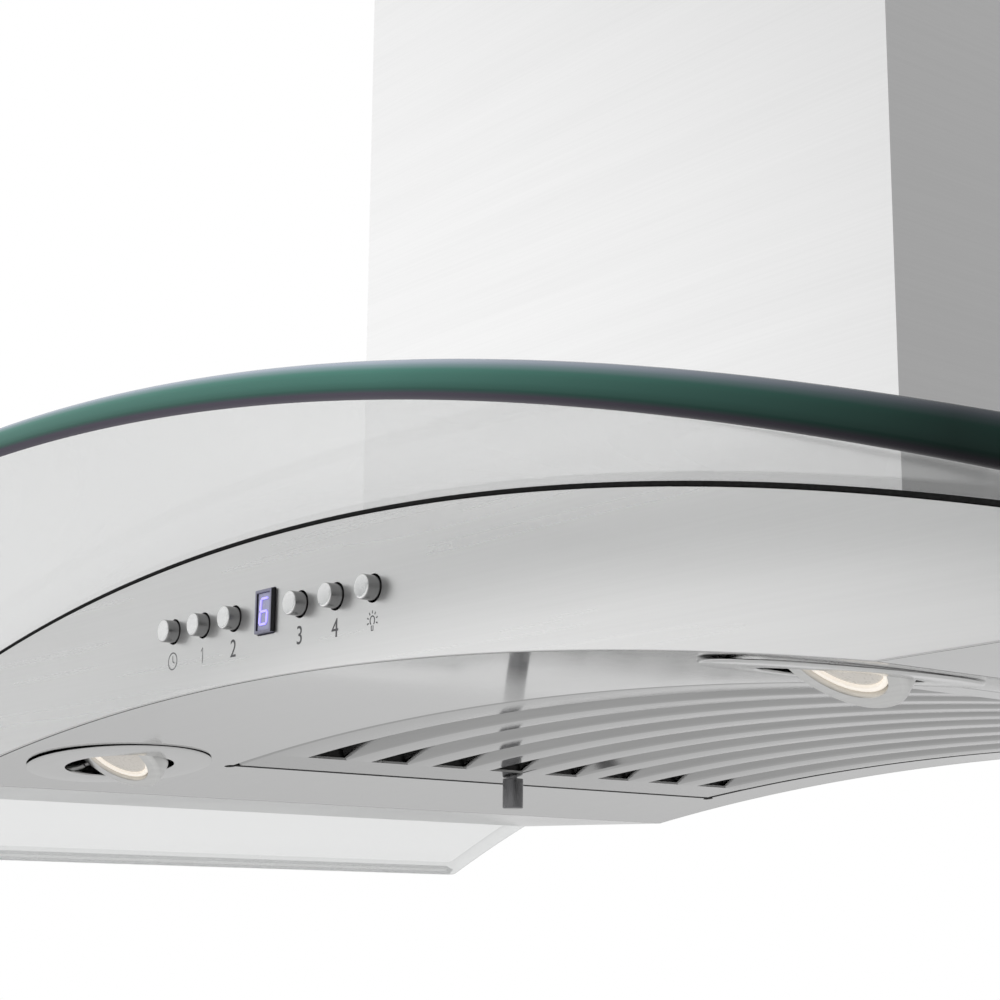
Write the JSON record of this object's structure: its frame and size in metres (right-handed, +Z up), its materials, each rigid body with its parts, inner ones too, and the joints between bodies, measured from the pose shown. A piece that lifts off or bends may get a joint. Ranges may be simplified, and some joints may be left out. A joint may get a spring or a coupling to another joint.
{
  "type": "island range hood",
  "caption": "Ceiling-hung cooker hood with an arched clear glass canopy, steel crescent body, swinging grease filter, tilting lamps, push buttons and a telescopic chimney.",
  "frame": {"origin": "on the ceiling plane, at the middle of the ceiling bracket and of the chimney", "axes": "+Z up, -Y towards the control panel, X along the hood's length, +X to the right of the person who faces the controls"},
  "size_m": [0.9068, 0.537, 0.8448],
  "materials": {
    "brushed_steel": "stainless steel with a fine horizontal grain",
    "polished_steel": "glossy polished stainless steel",
    "zinc_steel": "zinc-plated sheet steel, dull",
    "canopy_glass": "clear toughened glass with a faint green edge",
    "black_rubber": "matte black rubber",
    "dark_plastic": "moulded dark plastic",
    "board_resin": "green circuit board resin",
    "bezel_plastic": "lavender grey plastic",
    "display_film": "smoked violet display film",
    "digit_light": "glowing violet-blue display segments",
    "button_metal": "polished metal button caps",
    "lamp_satin": "satin metal",
    "lamp_lens": "warm white glowing diffuser",
    "knob_metal": "dark polished metal",
    "motor_paint": "black enamel",
    "capacitor_can": "grey capacitor can",
    "supply_plastic": "light grey plastic"
  },
  "bodies": {
    "hood": {"front_fascia": "brushed_steel", "rear_panel": "brushed_steel", "lower_chimney": "brushed_steel", "underside_panel": "polished_steel", "end_panel_left": "polished_steel", "end_panel_right": "polished_steel", "lamp_trim_left": "polished_steel", "lamp_trim_right": "polished_steel", "top_plate": "zinc_steel", "hinge_bracket_front": "zinc_steel", "hinge_bracket_rear": "zinc_steel", "filter_stop_front": "zinc_steel", "filter_stop_rear": "zinc_steel", "blower_plate": "zinc_steel", "blower_housing": "zinc_steel", "motor_mount": "zinc_steel", "damper_rod": "zinc_steel", "lower_frame": "zinc_steel", "upper_frame": "zinc_steel", "ceiling_bracket": "zinc_steel", "plate_bolt_1": "zinc_steel", "plate_bolt_2": "zinc_steel", "plate_bolt_3": "zinc_steel", "plate_bolt_4": "zinc_steel", "glass_canopy": "canopy_glass", "glass_gasket_front": "black_rubber", "glass_gasket_rear": "black_rubber", "cutout_seal": "black_rubber", "button_holder": "dark_plastic", "inlet_neck": "dark_plastic", "duct_collar": "dark_plastic", "junction_box": "dark_plastic", "cable_gland": "dark_plastic", "control_board": "board_resin", "display_bezel": "bezel_plastic", "display_window": "display_film", "display_digit": "digit_light", "motor": "motor_paint", "capacitor": "capacitor_can", "power_supply": "supply_plastic"},
    "filter": {"filter_tray": "polished_steel", "filter_baffles": "polished_steel", "filter_hinge_rod": "zinc_steel"},
    "latch": {"filter_knob": "knob_metal", "filter_catch": "zinc_steel"},
    "lamp_left": {"lamp_cup_left": "lamp_satin", "lamp_lens_left": "lamp_lens"},
    "lamp_right": {"lamp_cup_right": "lamp_satin", "lamp_lens_right": "lamp_lens"},
    "wheel": {"impeller": "dark_plastic", "motor_shaft": "polished_steel"},
    "flap_left": {"damper_flap_left": "dark_plastic"},
    "flap_right": {"damper_flap_right": "dark_plastic"},
    "upper_cover": {"upper_chimney": "brushed_steel"},
    "button_timer_cap": {"button_timer": "button_metal"},
    "button_speed_1_cap": {"button_speed_1": "button_metal"},
    "button_speed_2_cap": {"button_speed_2": "button_metal"},
    "button_speed_3_cap": {"button_speed_3": "button_metal"},
    "button_speed_4_cap": {"button_speed_4": "button_metal"},
    "button_light_cap": {"button_light": "button_metal"}
  },
  "joints": [
    {"name": "button_timer_press", "type": "slide", "parent": "hood", "child": "button_timer_cap", "axis": [0, 1, 0], "range_m": [0, 0.001], "stiffness_N_per_m": 1500},
    {"name": "button_speed_1_press", "type": "slide", "parent": "hood", "child": "button_speed_1_cap", "axis": [0, 1, 0], "range_m": [0, 0.001], "stiffness_N_per_m": 1500},
    {"name": "button_speed_2_press", "type": "slide", "parent": "hood", "child": "button_speed_2_cap", "axis": [0, 1, 0], "range_m": [0, 0.001], "stiffness_N_per_m": 1500},
    {"name": "button_speed_3_press", "type": "slide", "parent": "hood", "child": "button_speed_3_cap", "axis": [0, 1, 0], "range_m": [0, 0.001], "stiffness_N_per_m": 1500},
    {"name": "button_speed_4_press", "type": "slide", "parent": "hood", "child": "button_speed_4_cap", "axis": [0, 1, 0], "range_m": [0, 0.001], "stiffness_N_per_m": 1500},
    {"name": "button_light_press", "type": "slide", "parent": "hood", "child": "button_light_cap", "axis": [0, 1, 0], "range_m": [0, 0.001], "stiffness_N_per_m": 1500},
    {"name": "lamp_tilt_left", "type": "hinge", "parent": "hood", "child": "lamp_left", "pos_m": [-0.19662, -0.185, -0.80732], "axis": [0.9922, 0, 0.1248], "range_deg": [0, 60]},
    {"name": "lamp_tilt_right", "type": "hinge", "parent": "hood", "child": "lamp_right", "pos_m": [0.19662, -0.185, -0.80732], "axis": [0.9922, 0, -0.1248], "range_deg": [0, 60]},
    {"name": "filter_swing", "type": "hinge", "parent": "hood", "child": "filter", "pos_m": [0.1825, 0.00425, -0.80754], "axis": [0, -1, 0], "range_deg": [0, 60]},
    {"name": "knob_turn", "type": "hinge", "parent": "filter", "child": "latch", "pos_m": [-0.1715, 0.003, -0.80939], "axis": [0, 0, 1], "range_deg": [-90, 0]},
    {"name": "wheel_spin", "type": "hinge", "parent": "hood", "child": "wheel", "pos_m": [0, 0, -0.7], "axis": [0, 0, 1], "continuous": true},
    {"name": "flap_lift_left", "type": "hinge", "parent": "hood", "child": "flap_left", "pos_m": [0, 0, -0.538], "axis": [0, 1, 0], "range_deg": [0, 70]},
    {"name": "flap_lift_right", "type": "hinge", "parent": "hood", "child": "flap_right", "pos_m": [0, 0, -0.538], "axis": [0, -1, 0], "range_deg": [0, 70]},
    {"name": "cover_slide", "type": "slide", "parent": "hood", "child": "upper_cover", "axis": [0, 0, -1], "range_m": [0, 0.24]}
  ],
  "couplings": [
    {"joint": "flap_lift_right", "follows": "flap_lift_left", "ratio": 1}
  ]
}
